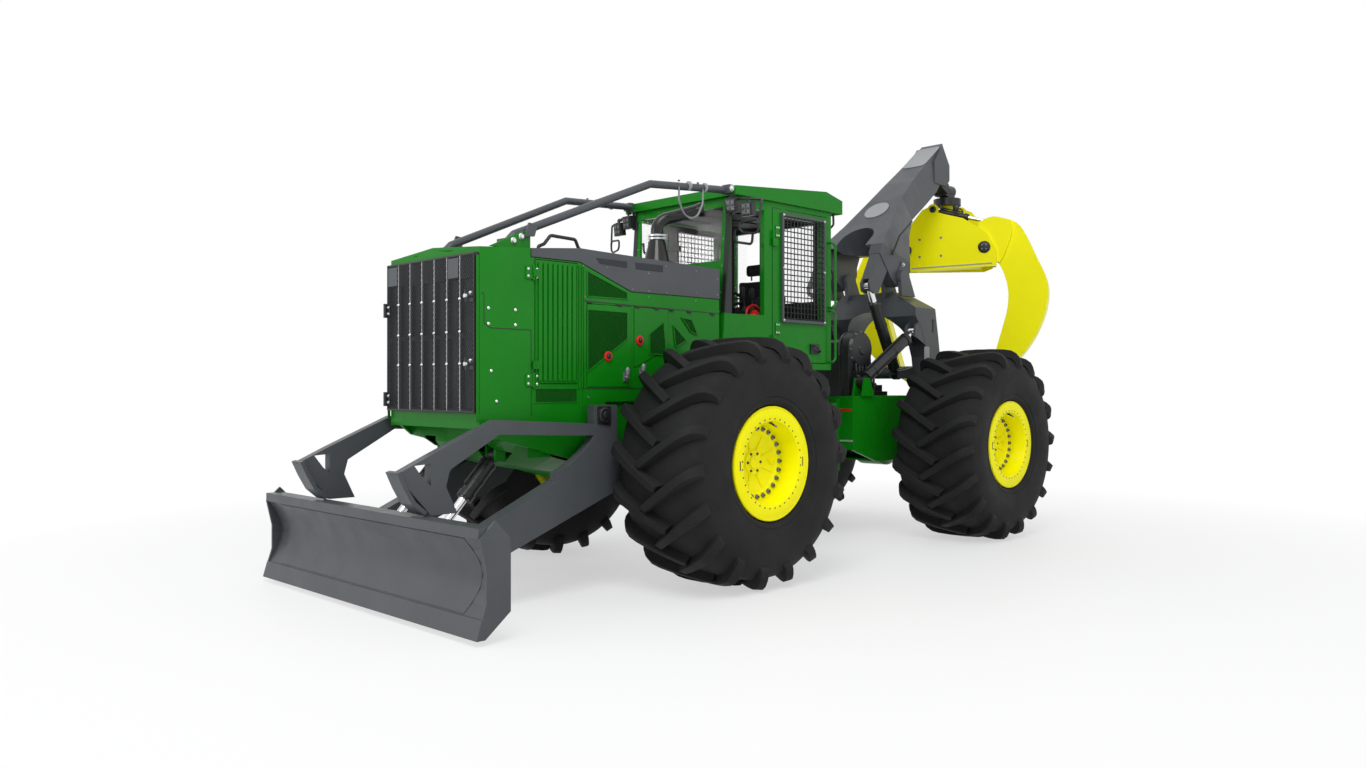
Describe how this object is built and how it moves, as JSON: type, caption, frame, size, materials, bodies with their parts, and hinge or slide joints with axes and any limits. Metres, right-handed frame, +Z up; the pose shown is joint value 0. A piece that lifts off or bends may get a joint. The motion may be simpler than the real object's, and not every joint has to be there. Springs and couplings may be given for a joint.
{
  "type": "grapple skidder",
  "caption": "Articulated forestry grapple skidder with a front decking blade, a screened cab and a rear arch and boom carrying a log grapple.",
  "frame": {"origin": "middle of the machine's bounding box at ground level, as parked with the grapple raised", "axes": "+Z up, +Y to the rear (the blade is at -Y), +X to the machine's left as its driver sits facing the blade"},
  "size_m": [3.391, 8.5596, 4.5],
  "materials": {
    "green_paint": "gloss",
    "dark_grey_paint": "satin",
    "yellow_paint": "satin",
    "black_paint": "satin",
    "tyre_rubber": "matte",
    "window_glass": "clear",
    "rod_chrome": "polished",
    "exhaust_steel": "satin",
    "seat_fabric": "matte",
    "console_plastic": "matte",
    "engine_iron": "matte"
  },
  "bodies": {
    "front_chassis": {"front_frame": "green_paint", "front_axle": "green_paint", "belly_guard": "green_paint", "engine": "engine_iron", "radiator_housing": "green_paint", "engine_bonnet": "dark_grey_paint", "engine_bay_sides": "green_paint", "service_panels": "green_paint", "brush_guard": "dark_grey_paint", "exhaust_stack": "exhaust_steel", "cab_shell": "green_paint", "cab_roof": "green_paint", "cab_glass": "window_glass", "operator_seat": "seat_fabric", "control_consoles": "console_plastic", "cab_steps": "black_paint"},
    "wheel_front_left": {"tyre_front_left": "tyre_rubber", "rim_front_left": "yellow_paint"},
    "wheel_front_right": {"tyre_front_right": "tyre_rubber", "rim_front_right": "yellow_paint"},
    "wheel_rear_left": {"tyre_rear_left": "tyre_rubber", "rim_rear_left": "yellow_paint"},
    "wheel_rear_right": {"tyre_rear_right": "tyre_rubber", "rim_rear_right": "yellow_paint"},
    "grille_door": {"grille_door": "dark_grey_paint"},
    "louvre_door_left": {"louvre_door_left": "green_paint"},
    "louvre_door_right": {"louvre_door_right": "green_paint"},
    "cab_door_left": {"cab_door_left": "green_paint"},
    "cab_door_right": {"cab_door_right": "green_paint"},
    "blade_assembly": {"blade_frame": "dark_grey_paint", "blade": "dark_grey_paint"},
    "blade_ram_barrels": {"blade_ram_barrels": "dark_grey_paint"},
    "blade_ram_rods": {"blade_ram_rods": "rod_chrome"},
    "rear_chassis": {"rear_frame": "green_paint", "rear_axle": "green_paint"},
    "steering_barrel_left": {"steering_barrel_left": "green_paint"},
    "steering_rod_left": {"steering_rod_left": "rod_chrome"},
    "steering_barrel_right": {"steering_barrel_right": "green_paint"},
    "steering_rod_right": {"steering_rod_right": "rod_chrome"},
    "winch_drum": {"winch_drum": "yellow_paint"},
    "arch": {"arch": "dark_grey_paint"},
    "arch_ram_barrels": {"arch_ram_barrels": "dark_grey_paint"},
    "arch_ram_rods": {"arch_ram_rods": "rod_chrome"},
    "boom": {"boom": "dark_grey_paint"},
    "boom_ram_barrels": {"boom_ram_barrels": "dark_grey_paint"},
    "boom_ram_rods": {"boom_ram_rods": "rod_chrome"},
    "grapple_hanger": {"grapple_hanger": "black_paint"},
    "rotator_housing": {"rotator_housing": "black_paint"},
    "grapple_head": {"grapple_head": "yellow_paint"},
    "tong_left": {"tong_left": "yellow_paint"},
    "tong_right": {"tong_right": "yellow_paint"},
    "tong_barrel_left": {"tong_barrel_left": "black_paint"},
    "tong_rod_left": {"tong_rod_left": "rod_chrome"},
    "tong_barrel_right": {"tong_barrel_right": "black_paint"},
    "tong_rod_right": {"tong_rod_right": "rod_chrome"}
  },
  "joints": [
    {"name": "front_wheel_left", "type": "hinge", "parent": "front_chassis", "child": "wheel_front_left", "pos_m": [1.243, -1.57485, 0.98], "axis": [1, 0, 0], "continuous": true},
    {"name": "rear_wheel_left", "type": "hinge", "parent": "rear_chassis", "child": "wheel_rear_left", "pos_m": [1.243, 2.18015, 0.98], "axis": [1, 0, 0], "continuous": true},
    {"name": "front_wheel_right", "type": "hinge", "parent": "front_chassis", "child": "wheel_front_right", "pos_m": [-1.243, -1.57485, 0.98], "axis": [1, 0, 0], "continuous": true},
    {"name": "rear_wheel_right", "type": "hinge", "parent": "rear_chassis", "child": "wheel_rear_right", "pos_m": [-1.243, 2.18015, 0.98], "axis": [1, 0, 0], "continuous": true},
    {"name": "grille_door_hinge", "type": "hinge", "parent": "front_chassis", "child": "grille_door", "pos_m": [-0.621, -3.55885, 1.9], "axis": [0, 0, -1], "range_deg": [0, 105]},
    {"name": "louvre_door_left_hinge", "type": "hinge", "parent": "front_chassis", "child": "louvre_door_left", "pos_m": [0.631, -3.07685, 2.05], "axis": [0, 0, -1], "range_deg": [0, 110]},
    {"name": "louvre_door_right_hinge", "type": "hinge", "parent": "front_chassis", "child": "louvre_door_right", "pos_m": [-0.631, -3.07685, 2.05], "axis": [0, 0, 1], "range_deg": [0, 110]},
    {"name": "cab_door_left_hinge", "type": "hinge", "parent": "front_chassis", "child": "cab_door_left", "pos_m": [0.718, -0.46285, 2.5], "axis": [0, 0, -1], "range_deg": [0, 85]},
    {"name": "cab_door_right_hinge", "type": "hinge", "parent": "front_chassis", "child": "cab_door_right", "pos_m": [-0.718, -0.46285, 2.5], "axis": [0, 0, 1], "range_deg": [0, 85]},
    {"name": "blade_lift", "type": "hinge", "parent": "front_chassis", "child": "blade_assembly", "pos_m": [0, -2.29485, 1], "axis": [1, 0, 0], "range_deg": [-14, 7]},
    {"name": "blade_ram_pivot", "type": "hinge", "parent": "front_chassis", "child": "blade_ram_barrels", "pos_m": [0, -3.21485, 1.06], "axis": [1, 0, 0], "range_deg": [-27.94, 14.22]},
    {"name": "blade_ram_stroke", "type": "slide", "parent": "blade_ram_barrels", "child": "blade_ram_rods", "axis": [0, -0.672, -0.7406], "range_m": [-0.1553, 0.0787]},
    {"name": "steering", "type": "hinge", "parent": "front_chassis", "child": "rear_chassis", "pos_m": [0, 0.42515, 1.09], "axis": [0, 0, 1], "range_deg": [-45, 45]},
    {"name": "steering_ram_left_pivot", "type": "hinge", "parent": "front_chassis", "child": "steering_barrel_left", "pos_m": [0.36, -0.72485, 1.09], "axis": [0, 0, 1], "range_deg": [-0.61, 0.61]},
    {"name": "steering_ram_left_stroke", "type": "slide", "parent": "steering_barrel_left", "child": "steering_rod_left", "axis": [-0.0252, 0.9997, 0], "range_m": [-0.2415, 0.2415]},
    {"name": "steering_ram_right_pivot", "type": "hinge", "parent": "front_chassis", "child": "steering_barrel_right", "pos_m": [-0.36, -0.72485, 1.09], "axis": [0, 0, 1], "range_deg": [-0.61, 0.61]},
    {"name": "steering_ram_right_stroke", "type": "slide", "parent": "steering_barrel_right", "child": "steering_rod_right", "axis": [0.0252, 0.9997, 0], "range_m": [-0.2415, 0.2415]},
    {"name": "winch_drum_spin", "type": "hinge", "parent": "rear_chassis", "child": "winch_drum", "pos_m": [0, 1.28515, 1.96], "axis": [1, 0, 0], "continuous": true},
    {"name": "arch_lean", "type": "hinge", "parent": "rear_chassis", "child": "arch", "pos_m": [0, 2.44515, 1.59], "axis": [-1, 0, 0], "range_deg": [0, 45]},
    {"name": "arch_ram_pivot", "type": "hinge", "parent": "rear_chassis", "child": "arch_ram_barrels", "pos_m": [0, 1.13515, 1.62], "axis": [-1, 0, 0], "range_deg": [-0.5, 6.12]},
    {"name": "arch_ram_stroke", "type": "slide", "parent": "arch_ram_barrels", "child": "arch_ram_rods", "axis": [0, 0.8654, 0.501], "range_m": [-0.002, 0.5105]},
    {"name": "boom_lift", "type": "hinge", "parent": "arch", "child": "boom", "pos_m": [0, 2.02515, 2.76], "axis": [1, 0, 0], "range_deg": [-65, 5]},
    {"name": "boom_ram_pivot", "type": "hinge", "parent": "arch", "child": "boom_ram_barrels", "pos_m": [0, 2.04515, 1.7], "axis": [1, 0, 0], "range_deg": [-15.45, 1.65]},
    {"name": "boom_ram_stroke", "type": "slide", "parent": "boom_ram_barrels", "child": "boom_ram_rods", "axis": [0, -0.4841, 0.875], "range_m": [-0.0369, 0.4558]},
    {"name": "hanger_swing", "type": "hinge", "parent": "boom", "child": "grapple_hanger", "pos_m": [0, 3.35515, 4.11], "axis": [1, 0, 0], "range_deg": [-5.5, 65.5]},
    {"name": "grapple_sway", "type": "hinge", "parent": "grapple_hanger", "child": "rotator_housing", "pos_m": [0, 3.70515, 3.985], "axis": [0, 1, 0], "range_deg": [-20, 20]},
    {"name": "grapple_rotation", "type": "hinge", "parent": "rotator_housing", "child": "grapple_head", "pos_m": [0, 3.70515, 3.7], "axis": [0, 0, 1], "continuous": true},
    {"name": "tong_left_swing", "type": "hinge", "parent": "grapple_head", "child": "tong_left", "pos_m": [0.43578, 3.88122, 3.25], "axis": [0.3746, -0.9272, 0], "range_deg": [-12, 45]},
    {"name": "tong_ram_left_pivot", "type": "hinge", "parent": "grapple_head", "child": "tong_barrel_left", "pos_m": [-0.08935, 3.55257, 3.74], "axis": [0.3746, -0.9272, 0], "range_deg": [-6.91, 2.21]},
    {"name": "tong_ram_left_stroke", "type": "slide", "parent": "tong_barrel_left", "child": "tong_rod_left", "axis": [0.8957, 0.3619, -0.2585], "range_m": [-0.2317, 0.0633]},
    {"name": "tong_right_swing", "type": "hinge", "parent": "grapple_head", "child": "tong_right", "pos_m": [-0.43578, 3.52909, 3.25], "axis": [-0.3746, 0.9272, 0], "range_deg": [-12, 45]},
    {"name": "tong_ram_right_pivot", "type": "hinge", "parent": "grapple_head", "child": "tong_barrel_right", "pos_m": [0.08935, 3.85773, 3.74], "axis": [-0.3746, 0.9272, 0], "range_deg": [-6.91, 2.21]},
    {"name": "tong_ram_right_stroke", "type": "slide", "parent": "tong_barrel_right", "child": "tong_rod_right", "axis": [-0.8957, -0.3619, -0.2585], "range_m": [-0.2317, 0.0633]}
  ],
  "couplings": [
    {"joint": "blade_ram_pivot", "follows": "blade_lift", "ratio": 1.96},
    {"joint": "blade_ram_stroke", "follows": "blade_lift", "m_per_rad": 0.6275},
    {"joint": "steering_ram_left_pivot", "follows": "steering", "ratio": 0.0025},
    {"joint": "steering_ram_left_stroke", "follows": "steering", "m_per_rad": 0.305},
    {"joint": "steering_ram_right_pivot", "follows": "steering", "ratio": 0.0025},
    {"joint": "steering_ram_right_stroke", "follows": "steering", "m_per_rad": -0.305},
    {"joint": "arch_ram_pivot", "follows": "arch_lean", "ratio": 0.125},
    {"joint": "arch_ram_stroke", "follows": "arch_lean", "m_per_rad": 0.6475},
    {"joint": "boom_ram_pivot", "follows": "boom_lift", "ratio": 0.23},
    {"joint": "boom_ram_stroke", "follows": "boom_lift", "m_per_rad": -0.4},
    {"joint": "hanger_swing", "follows": "boom_lift", "ratio": -1},
    {"joint": "tong_ram_left_pivot", "follows": "tong_left_swing", "ratio": -0.1425},
    {"joint": "tong_ram_left_stroke", "follows": "tong_left_swing", "m_per_rad": -0.2925},
    {"joint": "tong_ram_right_pivot", "follows": "tong_right_swing", "ratio": -0.1425},
    {"joint": "tong_ram_right_stroke", "follows": "tong_right_swing", "m_per_rad": -0.2925}
  ]
}
